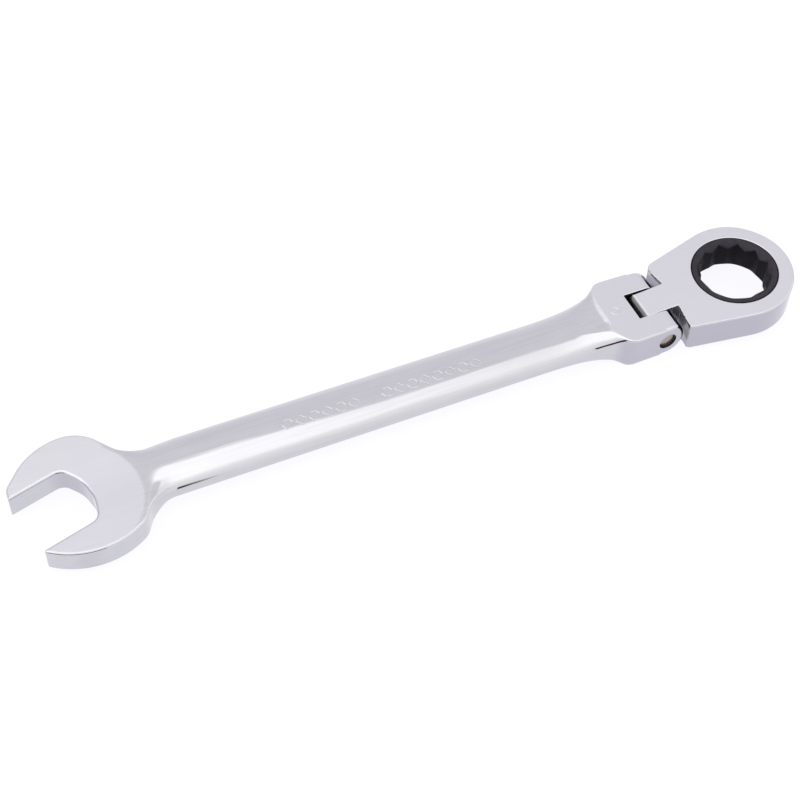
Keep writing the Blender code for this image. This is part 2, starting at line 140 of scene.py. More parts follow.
def circle_corners(centre, radius, start, end, count):
    """Corners whose fillets together make one arc, counterclockwise."""
    step = (end - start) / count
    reach = radius / math.cos(step / 2)
    angles = [start + step * (i + 0.5) for i in range(count)]
    return [
        (centre[0] + reach * math.cos(a), centre[1] + reach * math.sin(a), radius)
        for a in angles
    ]


def outline_distance(corners, x, y):
    """Signed distance, negative inside, to a counterclockwise outline of (x, y, fillet) corners."""
    arcs = []
    for i, (cx, cy, radius) in enumerate(corners):
        corner = Vector((cx, cy))
        back = (Vector(corners[i - 1][:2]) - corner).normalized()
        ahead = (Vector(corners[(i + 1) % len(corners)][:2]) - corner).normalized()
        half = back.angle(ahead) / 2
        run = radius / math.tan(half)
        bisector = (back + ahead).normalized()
        convex = back.cross(ahead) < 0
        centre = corner + bisector * (radius / math.sin(half))
        arcs.append((corner + back * run, corner + ahead * run, centre, radius, bisector, half, convex))
    best = np.full(x.shape, 1e9)
    for i, (first, last, centre, radius, bisector, half, convex) in enumerate(arcs):
        qx = x - centre.x
        qy = y - centre.y
        length = np.hypot(qx, qy)
        inside_wedge = -(qx * bisector.x + qy * bisector.y) >= length * math.sin(half) - 1e-6
        signed = length - radius if convex else radius - length
        nearer = inside_wedge & (np.abs(signed) < np.abs(best))
        best = np.where(nearer, signed, best)
        start = last
        end = arcs[(i + 1) % len(arcs)][0]
        along = (Vector(corners[(i + 1) % len(corners)][:2]) - Vector(corners[i][:2])).normalized()
        span = (end - start).dot(along)
        if span < 1e-6:
            continue
        place = (x - start.x) * along.x + (y - start.y) * along.y
        signed = (x - start.x) * along.y - (y - start.y) * along.x
        nearer = (place >= -1e-6) & (place <= span + 1e-6) & (np.abs(signed) < np.abs(best))
        best = np.where(nearer, signed, best)
    return best


def common(a, b, radius):
    """What lies in both shapes, with the edge between them rounded."""
    outside = np.hypot(np.maximum(a + radius, 0), np.maximum(b + radius, 0))
    return np.minimum(np.maximum(a, b), -radius) + outside


def joined(a, b, radius):
    """What lies in either shape, with a fillet between them."""
    return -common(-a, -b, radius)


def smooth_step(value, start, end):
    t = np.clip((value - start) / (end - start), 0, 1)
    return t * t * (3 - 2 * t)


def superellipse(y, z, half_width, half_height, power):
    """About the distance to a bar's section that is rounder or squarer with power."""
    a = np.maximum(np.abs(y) / half_width, 1e-6)
    b = np.maximum(np.abs(z) / half_height, 1e-6)
    size = (a**power + b**power) ** (1 / power)
    slope_y = (a / size) ** (power - 1) / half_width
    slope_z = (b / size) ** (power - 1) / half_height
    return (size - 1) / np.hypot(slope_y, slope_z)


def from_jaw(u, v):
    """Jaw axes, +U out of the opening and V across it, to the wrench's."""
    x = -JAW_REACH - u * math.cos(JAW_ANGLE) - v * math.sin(JAW_ANGLE)
    y = -u * math.sin(JAW_ANGLE) + v * math.cos(JAW_ANGLE)
    return x, y


def jaw_corners():
    """The open end in plan, counterclockwise: jaw faces, lower side, shank, upper side."""
    inner = [
        (27.64, HALF_GAP, 0.3),
        (6.6, HALF_GAP, 4.5),
        (2.9, 4.5, 14),
        (2.9, -4.5, 14),
        (6.6, -HALF_GAP, 4.5),
        (28.2, -HALF_GAP, 0.5),
        (28.62, -13.6, 0.7),
    ]
    lower = circle_corners((4.4, 4.6), 30.28, math.radians(-37.5), math.radians(-106), 2)
    heel = [(-6.2, -23.9, 9)]
    shank = [
        (-211.9, -SHANK_HALF_WIDTH, 13),
        (-130.0, -SHANK_HALF_WIDTH, 1),
        (-130.0, SHANK_HALF_WIDTH, 1),
        (-198.0, SHANK_HALF_WIDTH, 60),
        (-216.9, 10.3, 9),
    ]
    crown = [(-7.56, 24.8, 15)]
    upper = circle_corners((4.9, 0.4), 26.08, math.radians(100), math.radians(55), 2)
    shoulder = [(26.2, 17.4, 5)]
    before = [(*from_jaw(u, v), radius) for u, v, radius in inner + lower + heel]
    after = [(*from_jaw(u, v), radius) for u, v, radius in crown + upper + shoulder]
    return before + shank + after


JAW_CORNERS = jaw_corners()
FLAT_CENTRE = (-240.0, -4.0)
FLAT_RADIUS = 25.0
NECK_BLEND = 11.0

# x, half width, half height, squareness of the shank's section from the shank to the fork
SECTIONS = np.array(
    [
        (-52.0, SHANK_HALF_WIDTH, SHANK_HALF_HEIGHT, SHANK_POWER),
        (-42.0, 11.56, 5.47, 2.7),
        (-36.0, 11.75, 5.83, 2.9),
        (-30.0, 12.2, 6.45, 3.3),
        (-25.0, 13.0, 7.16, 3.9),
        (-22.0, 13.8, 7.85, 4.4),
        (-19.5, 15.1, 8.6, 5.5),
        (-17.5, 16.3, 9.4, 7.5),
        (-15.5, 16.75, 10.0, 10.0),
        (FORK_START, 16.75, 10.2, 12.0),
    ]
)


def section_at(x, column):
    """A section's value at x, smooth between the stations."""
    at = SECTIONS[:, 0]
    value = SECTIONS[:, column]
    slope = np.gradient(value, at)
    slope[0] = 0
    slope[-1] = 0
    x = np.clip(x, at[0], at[-1])
    i = np.clip(np.searchsorted(at, x) - 1, 0, len(at) - 2)
    width = at[i + 1] - at[i]
    t = (x - at[i]) / width
    return (
        value[i] * (1 + 2 * t) * (1 - t) ** 2
        + slope[i] * width * t * (1 - t) ** 2
        + value[i + 1] * t * t * (3 - 2 * t)
        + slope[i + 1] * width * t * t * (t - 1)
    )


def shank_and_fork(x, y, z):
    """The shank, growing into the fork with its ears, slot, ball hole and pin bore."""
    shape = superellipse(y, z, section_at(x, 1), section_at(x, 2), section_at(x, 3))
    side = np.abs(y) - FORK_SIDE + EAR_TAPER * np.maximum(x + 15, 0)
    shape = np.where(x > FORK_START, side, shape)
    ends = np.where(x > 0, np.hypot(x, z), np.abs(z)) - EAR_RADIUS
    shape = np.where(x > -2, common(shape, ends, 1.9), shape)
    edge = 0.45 + 1.3 * smooth_step(x, -19, -23) * smooth_step(y, -9, -3)
    shape = common(shape, np.abs(z) - FORK_HALF, edge)
    slot = np.maximum(np.abs(y) - SLOT_HALF, SLOT_BOTTOM - x)
    shape = common(shape, -slot, 0.25)
    ball_hole = np.maximum(np.hypot(y, z) - BALL_HOLE_RADIUS, BALL_HOLE_END - x)
    shape = common(shape, -ball_hole, 0.15)
    return common(shape, PIN_BORE - np.hypot(x, z), 0.3)


def neck_share(x, y):
    """0 over the jaw's milled flat, 1 where the neck has become the round shank."""
    away = np.hypot(x - FLAT_CENTRE[0], y - FLAT_CENTRE[1]) - FLAT_RADIUS
    lag = 3 * smooth_step(-y, 1, 10)
    return smooth_step(away - 0.5 * lag, 0, NECK_BLEND) * smooth_step(x - lag, -226, -215)


def open_end(x, y, z):
    """The flat open jaw, passing into the round shank over the neck."""
    outline = outline_distance(JAW_CORNERS, x, y)
    plate = common(outline, np.abs(z) - JAW_HALF, 1.0)
    across = np.maximum(SHANK_HALF_WIDTH + outline, 0)
    forged = superellipse(across, z, SHANK_HALF_WIDTH, SHANK_HALF_HEIGHT, SHANK_POWER)
    share = neck_share(x, y)
    return plate * (1 - share) + forged * share


def body_distance(p):
    x, y, z = p.T
    result = np.empty(len(p))
    near_jaw = x < -150
    result[near_jaw] = open_end(x[near_jaw], y[near_jaw], z[near_jaw])
    rest = ~near_jaw
    result[rest] = shank_and_fork(x[rest], y[rest], z[rest])
    return result


def head_corners():
    """The ring head in plan: the round eye, with straight sides to its two shoulders."""
    run = REACH - SHOULDER
    far = math.hypot(run, NECK_HALF)
    tangent = math.pi - math.atan2(NECK_HALF, run) - math.acos(EYE_RADIUS / far)
    eye = circle_corners((REACH, 0), EYE_RADIUS, -tangent, tangent, 4)
    return [*eye, (SHOULDER - 0.6, NECK_HALF - 0.6, 3.2), (SHOULDER - 3.4, -NECK_HALF, 0.3)]


HEAD_CORNERS = head_corners()


def head_distance(p):
    """The ring head: eye, tongue, hollow behind the shoulders, gear seat and pawl pocket."""
    x, y, z = p.T
    plate = outline_distance(HEAD_CORNERS, x, y)
    tongue_end = np.where(x < 0, np.hypot(x, z) - TONGUE_RADIUS, x - REACH + 20)
    tongue = common(np.abs(y) - TONGUE_HALF, tongue_end, 0.3)
    shape = joined(plate, tongue, 0.05)
    edge = 0.4 + 0.7 * smooth_step(x, REACH + 9, REACH + 21)
    shape = common(shape, np.abs(z) - HEAD_HALF, edge)
    # the hollow is deepest beside the tongue, and shallowest at the near side
    near = np.clip((-y - TONGUE_HALF) / (NECK_HALF - TONGUE_HALF), 0, 1)
    reach = RECESS - (RECESS - NEAR_REACH) * near - FAR_SLANT * np.maximum(y - TONGUE_HALF, 0)
    hollow = np.hypot(x, z * (1 - 0.65 * near)) - reach
    recess = np.maximum(hollow, TONGUE_HALF - np.abs(y))
    edge = 0.3 + 1.1 * smooth_step(-y, 12, 17) * smooth_step(-z, 0, 6)
    shape = common(shape, -recess, edge)
    shape = common(shape, PIN_BORE - np.hypot(x, z), 0.3)
    r = np.hypot(x - REACH, y)
    shape = common(shape, LIP_BORE - r, 0.3)
    seat = np.maximum(r - SEAT_BORE, z - SEAT_TOP)
    shape = common(shape, -seat, 0.15)
    pocket_middle = REACH - POCKET_BACK + POCKET_HALF_DEPTH
    pocket = np.maximum(np.abs(x - pocket_middle) - POCKET_HALF_DEPTH, np.abs(y) - POCKET_HALF_WIDTH)
    pocket = np.maximum(pocket, np.abs(z) - POCKET_HALF_HEIGHT)
    spring_hole = np.abs(x - REACH + SPRING_HOLE_MIDDLE) - SPRING_HOLE_HALF
    spring_hole = np.maximum(np.hypot(y, z) - SPRING_HOLE_RADIUS, spring_hole)
    return common(shape, -np.minimum(pocket, spring_hole), 0.05)


# ---------------------------------------------------------------- meshes


def gradient(distance, points, step):
    """Value and gradient from four samples around each point."""
    corners = np.array([(1, 1, 1), (1, -1, -1), (-1, 1, -1), (-1, -1, 1)], float)
    value = 0
    slope = np.zeros_like(points)
    for corner in corners:
        sample = distance(points + corner * step)
        value = value + sample / 4
        slope += sample[:, None] * corner / (4 * step)
    return value, slope


def onto_surface(mesh, distance, rounds):
    """Moves every vertex to where the distance function is zero, and returns their places."""
    sample_step = 0.02
    longest_move = 0.8
    points = np.empty(len(mesh.vertices) * 3, np.float32)
    mesh.vertices.foreach_get("co", points)
    points = points.reshape(-1, 3).astype(float)
    for _ in range(rounds):
        value, slope = gradient(distance, points, sample_step)
        size = np.maximum((slope**2).sum(1), 0.1)
        move = -slope * (value / size)[:, None]
        length = np.linalg.norm(move, axis=1, keepdims=True)
        points += move * np.minimum(1, longest_move / np.maximum(length, 1e-9))
    mesh.vertices.foreach_set("co", points.astype(np.float32).ravel())
    mesh.update()
    return points


def with_modifier(mesh, kind, **settings):
    """The mesh after one modifier."""
    helper = bpy.data.objects.new("helper", mesh)
    bpy.context.scene.collection.objects.link(helper)
    modifier = helper.modifiers.new(kind, kind)
    for name, value in settings.items():
        setattr(modifier, name, value)
    evaluated = helper.evaluated_get(bpy.context.evaluated_depsgraph_get())
    made = bpy.data.meshes.new_from_object(evaluated)
    bpy.data.objects.remove(helper)
    bpy.data.meshes.remove(mesh)
    return made


def smooth_solid(node, distance, to_world, voxel, share):
    """A fine mesh of the distance function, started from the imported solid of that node."""
    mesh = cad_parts[node].data.copy()
    mesh.transform(to_world.inverted())
    # the second pass at each size mends what the long moves of the first have stretched
    for size in (2 * voxel, 2 * voxel, voxel, voxel):
        mesh = with_modifier(mesh, "REMESH", mode="VOXEL", voxel_size=size)
        onto_surface(mesh, distance, 4)
    mesh = with_modifier(mesh, "DECIMATE", ratio=share)
    points = onto_surface(mesh, distance, 3)
    _, normals = gradient(distance, points, 0.01)
    normals = normals @ np.array(to_world.to_3x3().normalized()).T
    normals /= np.linalg.norm(normals, axis=1, keepdims=True)
    mesh.transform(to_world)
    mesh.materials.clear()
    mesh.shade_smooth()
    mesh.normals_split_custom_set_from_vertices(normals)
    mesh.name = node
    return mesh


def add_piece(name, mesh, body, node, material):
    obj = bpy.data.objects.new(name, mesh)
    bpy.context.scene.collection.objects.link(obj)
    obj.data.materials.append(material)
    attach(obj, body)
    if node:
        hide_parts(node)
    return obj


# ---------------------------------------------------------------- materials


def new_material(name, colour, metallic, roughness):
    material = bpy.data.materials.new(name)
    material.use_nodes = True
    shader = material.node_tree.nodes["Principled BSDF"]
    shader.inputs["Base Color"].default_value = (*colour, 1)
    shader.inputs["Metallic"].default_value = metallic
    shader.inputs["Roughness"].default_value = roughness
    return material


def math_node(tree, operation, a, b=None, c=None):
    node = tree.nodes.new("ShaderNodeMath")
    node.operation = operation
    for socket, value in zip(node.inputs, (a, b, c)):
        if value is None:
            continue
        if isinstance(value, (int, float)):
            socket.default_value = value
        else:
            tree.links.new(value, socket)
    return node.outputs[0]


def ramp_node(tree, value, stops):
    """Colours along a value, between the first and the last stop's place."""
    low = stops[0][0]
    high = stops[-1][0]
    span = tree.nodes.new("ShaderNodeMapRange")
    span.inputs["From Min"].default_value = low
    span.inputs["From Max"].default_value = high
    tree.links.new(value, span.inputs["Value"])
    ramp = tree.nodes.new("ShaderNodeValToRGB")
    tree.links.new(span.outputs["Result"], ramp.inputs["Fac"])
    elements = ramp.color_ramp.elements
    while len(elements) < len(stops):
        elements.new(0.5)
    for element, (place, colour) in zip(elements, stops):
        element.position = (place - low) / (high - low)
        element.color = (*colour, 1)
    return ramp.outputs["Color"]


def step_node(tree, value, start, end):
    """0 before start and 1 past end, smooth between them."""
    node = tree.nodes.new("ShaderNodeMapRange")
    node.interpolation_type = "SMOOTHSTEP"
    rising = start < end
    node.inputs["From Min"].default_value = start if rising else end
    node.inputs["From Max"].default_value = end if rising else start
    node.inputs["To Min"].default_value = 0 if rising else 1
    node.inputs["To Max"].default_value = 1 if rising else 0
    tree.links.new(value, node.inputs["Value"])
    return node.outputs["Result"]


def mix_node(tree, share, a, b):
    node = tree.nodes.new("ShaderNodeMix")
    node.data_type = "RGBA"
    for socket, value in zip((node.inputs[0], node.inputs[6], node.inputs[7]), (share, a, b)):
        if isinstance(value, tuple):
            socket.default_value = (*value, 1)
        else:
            tree.links.new(value, socket)
    return node.outputs[2]


def local_place(tree, to_world):
    """Millimetres from the hinge, along the wrench's or the head's own axes."""
    mapping = tree.nodes.new("ShaderNodeMapping")
    location, rotation, scale = to_world.inverted().decompose()
    mapping.inputs["Location"].default_value = location
    mapping.inputs["Rotation"].default_value = rotation.to_euler()
    mapping.inputs["Scale"].default_value = scale
    place = tree.nodes.new("ShaderNodeTexCoord").outputs["Object"]
    tree.links.new(place, mapping.inputs["Vector"])
    return mapping.outputs["Vector"]


def split(tree, vector):
    node = tree.nodes.new("ShaderNodeSeparateXYZ")
    tree.links.new(vector, node.inputs[0])
    return node.outputs


def times(tree, *values):
    product = values[0]
    for value in values[1:]:
        product = math_node(tree, "MULTIPLY", product, value)
    return product


def noise_node(tree, place, scale, detail, stretch=(1, 1, 1)):
    """Noise from 0 to 1, with scale in cells per millimetre and a stretch along each axis."""
    mapping = tree.nodes.new("ShaderNodeMapping")
    mapping.inputs["Scale"].default_value = [scale / axis for axis in stretch]
    tree.links.new(place, mapping.inputs["Vector"])
    noise = tree.nodes.new("ShaderNodeTexNoise")
    noise.inputs["Scale"].default_value = 1
    noise.inputs["Detail"].default_value = detail
    tree.links.new(mapping.outputs["Vector"], noise.inputs["Vector"])
    return noise.outputs["Fac"]


def bumped(tree, shader, heights):
    """Adds each (height from 0 to 1, depth in millimetres) to the surface in turn."""
    normal = None
    for height, depth in heights:
        bump = tree.nodes.new("ShaderNodeBump")
        bump.inputs["Strength"].default_value = 1
        bump.inputs["Distance"].default_value = depth * MM
        tree.links.new(height, bump.inputs["Height"])
        if normal:
            tree.links.new(normal, bump.inputs["Normal"])
        normal = bump.outputs["Normal"]
    tree.links.new(normal, shader.inputs["Normal"])


def radius_from(tree, along, across):
    """Distance from an axis, from the two coordinates at right angles to it."""
    squares = math_node(tree, "MULTIPLY", across, across)
    return math_node(tree, "SQRT", math_node(tree, "MULTIPLY_ADD", along, along, squares))


def handle_masks(tree, place):
    """Where the forging is milled satin, where shade is painted in its slot and pin bore, and where
    painted shade greys its walls and jaw.
    """
    x, y, z = split(tree, place)
    height = math_node(tree, "ABSOLUTE", z)
    across = math_node(tree, "ABSOLUTE", y)
    from_x = math_node(tree, "SUBTRACT", x, FLAT_CENTRE[0])
    from_y = math_node(tree, "SUBTRACT", y, FLAT_CENTRE[1])
    away = radius_from(tree, from_x, from_y)
    disc = step_node(tree, away, FLAT_RADIUS + 1.2, FLAT_RADIUS - 0.6)
    disc = math_node(tree, "MAXIMUM", disc, step_node(tree, x, -221, -224))
    jaw = times(tree, disc, step_node(tree, height, JAW_HALF - 0.12, JAW_HALF - 0.04))
    fork = times(tree, step_node(tree, x, -27, -20), step_node(tree, height, 6.9, FORK_HALF - 0.05))
    satin = math_node(tree, "MAXIMUM", jaw, fork)
    # painted shade: the slot's walls and the pin bore get a dark colour, standing in for the shade in
    # them
    slot = times(
        tree,
        step_node(tree, across, SLOT_HALF + 0.06, SLOT_HALF),
        step_node(tree, x, SLOT_BOTTOM - 0.1, SLOT_BOTTOM),
    )
    bore = step_node(tree, radius_from(tree, x, z), PIN_BORE + 0.25, PIN_BORE + 0.05)
    painted_shade = math_node(tree, "MAXIMUM", times(tree, slot, 0.9), bore)
    # painted shade: greys the sides of the ears, the jaw's throat and the near part of the jaw's flat
    ear_wall_shade = times(tree, step_node(tree, x, -24, -19), step_node(tree, height, 6.9, 6.2), 0.8)
    jaw_wall_shade = times(tree, step_node(tree, x, -226, -230), step_node(tree, height, 4.9, 4.4))
    jaw_wall_shade = times(tree, jaw_wall_shade, step_node(tree, away, 24, 21), step_node(tree, x, -247, -238))
    jaw_top_shade = times(tree, jaw, step_node(tree, y, 8, -10), 0.3)
    wall_shade = math_node(tree, "MAXIMUM", ear_wall_shade, times(tree, jaw_wall_shade, 0.8))
    return satin, painted_shade, math_node(tree, "MAXIMUM", wall_shade, jaw_top_shade)


def head_masks(tree, place):
    """The head's satin faces, painted shade in its hollows, on the tongue's end and inside its lip, and
    painted shade on its walls.
    """
    x, y, z = split(tree, place)
    height = math_node(tree, "ABSOLUTE", z)
    satin = step_node(tree, height, HEAD_HALF - 0.12, HEAD_HALF - 0.04)
    # painted shade: the hollows behind the shoulders, darkest high on the near side
    hollow = step_node(tree, radius_from(tree, x, z), RECESS + 0.1, RECESS)
    hollow = times(tree, hollow, step_node(tree, height, HEAD_HALF - 0.1, HEAD_HALF - 0.4))
    near = step_node(tree, y, 0.1 - TONGUE_HALF, -TONGUE_HALF - 0.3)
    near = times(tree, near, step_node(tree, y, 0.2 - NECK_HALF, 0.6 - NECK_HALF))
    far = times(tree, step_node(tree, y, TONGUE_HALF - 0.1, TONGUE_HALF + 0.3), 0.35)
    depth = math_node(tree, "MULTIPLY_ADD", step_node(tree, z, -3.8, -1.2), 0.7, 0.25)
    hollow = times(tree, hollow, math_node(tree, "MAXIMUM", times(tree, near, depth), far))
    # painted shade on the tongue's rounded end
    end = times(tree, step_node(tree, x, -3.6, -4.6), 0.7)
    hollow = math_node(tree, "MAXIMUM", hollow, end)
    # painted shade inside the lip, in the gap round the gear
    from_eye = math_node(tree, "SUBTRACT", x, REACH)
    inside = step_node(tree, radius_from(tree, from_eye, y), SEAT_BORE + 0.1, SEAT_BORE)
    inside = times(tree, inside, step_node(tree, z, SEAT_TOP + 0.4, SEAT_TOP), 0.7)
    # painted shade: the head's side walls are greyed
    wall_shade = step_node(tree, height, HEAD_HALF - 0.4, HEAD_HALF - 1.0)
    return satin, math_node(tree, "MAXIMUM", hollow, inside), wall_shade


def make_chrome(name, to_world, masks):
    """Bright chrome plate: polished on the forging, satin where the steel was milled flat."""
    material = new_material(name, (0.6, 0.6, 0.63), 1.0, 0.1)
    tree = material.node_tree
    shader = tree.nodes["Principled BSDF"]
    place = local_place(tree, to_world)
    satin, painted_shade, wall_shade = masks(tree, place)
    clouds = noise_node(tree, place, 0.09, 3)
    grain = noise_node(tree, place, 3.5, 3)
    strokes = noise_node(tree, place, 0.9, 3, (26, 1, 1))
    ripples = noise_node(tree, place, 0.22, 2, (5, 1, 1))
    scratches = noise_node(tree, place, 5.0, 2, (40, 1, 1))

    plate = mix_node(tree, clouds, (0.578, 0.575, 0.615), (0.622, 0.619, 0.642))
    bright = mix_node(tree, times(tree, satin, grain), plate, (0.68, 0.675, 0.71))
    polish = math_node(tree, "SUBTRACT", 1, satin)
    streaks = times(tree, step_node(tree, strokes, 0.45, 0.7), polish, 0.35)
    bright = mix_node(tree, streaks, bright, (0.52, 0.53, 0.53))
    # painted shade: a greyer lilac on the walls that the masks mark
    bright = mix_node(tree, wall_shade, bright, (0.475, 0.466, 0.525))
    # painted shade: a mottled dark brown where the masks paint shade into the slot, bore, hollows and
    # lip
    shade_noise = noise_node(tree, place, 0.5, 4)
    shade_colour = mix_node(tree, shade_noise, (0.02, 0.016, 0.017), (0.09, 0.076, 0.074))
    colour = mix_node(tree, painted_shade, bright, shade_colour)
    tree.links.new(colour, shader.inputs["Base Color"])

    polished = math_node(tree, "MULTIPLY_ADD", strokes, 0.06, 0.02)
    milled = math_node(tree, "MULTIPLY_ADD", grain, 0.12, 0.17)
    milled = math_node(tree, "MULTIPLY_ADD", scratches, 0.06, milled)
    rough = math_node(tree, "ADD", polished, times(tree, satin, milled))
    rough = math_node(tree, "ADD", rough, times(tree, painted_shade, shade_noise, 0.3))
    tree.links.new(rough, shader.inputs["Roughness"])
    satin_grain = times(tree, satin, math_node(tree, "ADD", grain, scratches))
    bumped(tree, shader, [(ripples, 0.03), (strokes, 0.012), (satin_grain, 0.004)])
    return material


def make_black_oxide():
    """Blackened steel with turning rings on its faces and broaching lines down its hole."""
    material = new_material("black_oxide_steel", (0.02, 0.02, 0.02), 0.75, 0.35)
    tree = material.node_tree
    shader = tree.nodes["Principled BSDF"]
    place = local_place(tree, HEAD_TO_WORLD)
    x, y, z = split(tree, place)
    radius = radius_from(tree, math_node(tree, "SUBTRACT", x, REACH), y)
    rings = math_node(tree, "SINE", math_node(tree, "MULTIPLY", radius, math.tau / 0.42))
    rings = math_node(tree, "MULTIPLY_ADD", rings, 0.5, 0.5)
    clouds = noise_node(tree, place, 0.35, 4)
    lines = noise_node(tree, place, 3.0, 3, (1, 1, 16))
    grain = noise_node(tree, place, 4.0, 3)

    oxide = mix_node(tree, clouds, (0.019, 0.016, 0.024), (0.052, 0.044, 0.056))
    # down the hole the oxide is matt, and painted darker as shade
    depth = math_node(tree, "SUBTRACT", math_node(tree, "ABSOLUTE", z), radius)
    mouth = GEAR_HALF - MOUTH
    hole = times(
        tree,
        step_node(tree, depth, mouth - 0.05, mouth - 0.3),
        step_node(tree, radius, POINT_RADIUS + 0.5, POINT_RADIUS + 0.2),
    )
    oxide = mix_node(tree, hole, oxide, (0.010, 0.008, 0.013))
    # painted shade: the collar's outer edge is darkened for the shaded gap between gear and head
    rim = step_node(tree, radius, 17.1, 17.35)
    colour = mix_node(tree, rim, oxide, (0.006, 0.005, 0.007))
    tree.links.new(colour, shader.inputs["Base Color"])
    rough = math_node(tree, "MULTIPLY_ADD", clouds, 0.22, 0.24)
    rough = math_node(tree, "MULTIPLY_ADD", grain, 0.08, rough)
    rough = math_node(tree, "MULTIPLY_ADD", hole, 0.3, rough)
    tree.links.new(rough, shader.inputs["Roughness"])
    bumped(tree, shader, [(rings, 0.004), (lines, 0.012), (grain, 0.004)])
    return material


def make_plain_steel():
    """Bare turned steel with a brown bloom, darker in the serrations round the pin's ends."""
    material = new_material("plain_turned_steel", (0.36, 0.31, 0.29), 1.0, 0.35)
    tree = material.node_tree
    shader = tree.nodes["Principled BSDF"]
    place = local_place(tree, TO_WORLD)
    x, _, z = split(tree, place)
    radius = radius_from(tree, x, z)
    rings = math_node(tree, "SINE", math_node(tree, "MULTIPLY", radius, math.tau / 0.3))
    rings = math_node(tree, "MULTIPLY_ADD", rings, 0.5, 0.5)
    clouds = noise_node(tree, place, 0.6, 4)
    grain = noise_node(tree, place, 5.0, 3)
    bare = mix_node(tree, clouds, (0.36, 0.30, 0.29), (0.52, 0.45, 0.43))
    crown = step_node(tree, radius, PIN_FACE + 0.02, PIN_FACE + 0.1)
    crown = times(tree, crown, step_node(tree, radius, 4.2, 4.0))
    colour = mix_node(tree, times(tree, crown, 0.8), bare, (0.05, 0.035, 0.03))
    tree.links.new(colour, shader.inputs["Base Color"])
    rough = math_node(tree, "MULTIPLY_ADD", clouds, 0.2, 0.26)
    tree.links.new(rough, shader.inputs["Roughness"])
    bumped(tree, shader, [(rings, 0.004), (grain, 0.004)])
    return material


def make_spring_steel():
    """Blued spring steel with fine drawing lines and a light film of grease."""
    material = new_material("spring_steel", (0.4, 0.4, 0.42), 1.0, 0.25)
    tree = material.node_tree
    shader = tree.nodes["Principled BSDF"]
    place = local_place(tree, HEAD_TO_WORLD)
    clouds = noise_node(tree, place, 0.5, 4)
    lines = noise_node(tree, place, 6.0, 3, (1, 1, 8))
    colour = mix_node(tree, clouds, (0.30, 0.30, 0.34), (0.48, 0.47, 0.48))
    tree.links.new(colour, shader.inputs["Base Color"])
    rough = math_node(tree, "MULTIPLY_ADD", lines, 0.12, 0.16)
    rough = math_node(tree, "MULTIPLY_ADD", clouds, 0.1, rough)
    tree.links.new(rough, shader.inputs["Roughness"])
    bumped(tree, shader, [(lines, 0.004)])
    return material


HANDLE_CHROME = make_chrome("handle_chrome", TO_WORLD, handle_masks)
HEAD_CHROME = make_chrome("head_chrome", HEAD_TO_WORLD, head_masks)
BLACK = make_black_oxide()
STEEL = make_plain_steel()
SPRING = make_spring_steel()


# ---------------------------------------------------------------- pieces


def mesh_of(name, loops, closed_profile=True):
    """A mesh through equal loops of points, each joined to the next.

    The last loop is joined to the first, or both are capped if the profile isn't closed.
    """
    count = len(loops[0])
    points = [point for loop in loops for point in loop]
    faces = []
    last = len(loops) if closed_profile else len(loops) - 1
    for i in range(last):
        a = i * count
        b = (i + 1) % len(loops) * count
        for j in range(count):
            k = (j + 1) % count
            faces.append((a + j, a + k, b + k, b + j))
    if not closed_profile:
        faces.append(tuple(reversed(range(count))))
        faces.append(tuple(range(len(points) - count, len(points))))
    mesh = bpy.data.meshes.new(name)
    mesh.from_pydata(points, [], faces)
    solid = bmesh.new()
    solid.from_mesh(mesh)
    bmesh.ops.recalc_face_normals(solid, faces=solid.faces)
    solid.to_mesh(mesh)
    solid.free()
    mesh.shade_smooth()
    return mesh


def star_radius(angle):
    """The twelve-point hole's radius: straight lines between points and notches."""
    pitch = math.tau / 12
    turn = (angle - POINT_PHASE) % pitch
    turn = min(turn, pitch - turn)
    point = Vector((POINT_RADIUS, 0))
    notch = Vector((NOTCH_RADIUS * math.cos(pitch / 2), NOTCH_RADIUS * math.sin(pitch / 2)))
    side = notch - point
    ray = Vector((math.cos(turn), math.sin(turn)))
    radius = point.cross(side) / ray.cross(side)
    sharp_point = POINT_RADIUS - 0.12
    return min(radius, sharp_point)


def tooth_radius(angle):
    """The ratchet teeth: a long ramp and a steep drop."""
    ramp = 0.75
    turn = (angle - math.pi) / (math.tau / TEETH) % 1
    rise = min(turn / ramp, (1 - turn) / (1 - ramp))
    return TOOTH_ROOT + (TOOTH_TIP - TOOTH_ROOT) * min(max(rise, 0.04), 0.96)


def gear_angles():
    """Directions that catch every corner of the hole and of the teeth."""
    found = set()
    for i in range(24):
        corner = POINT_PHASE + i * math.tau / 24
        for offset in (-0.035, -0.012, 0, 0.012, 0.035):
            found.add(round((corner + offset) % math.tau, 5))
    for i in range(TEETH):
        for share in (0.02, 0.35, 0.71, 0.76, 0.98):
            found.add(round((math.pi + (i + share) * math.tau / TEETH) % math.tau, 5))
    return sorted(found)


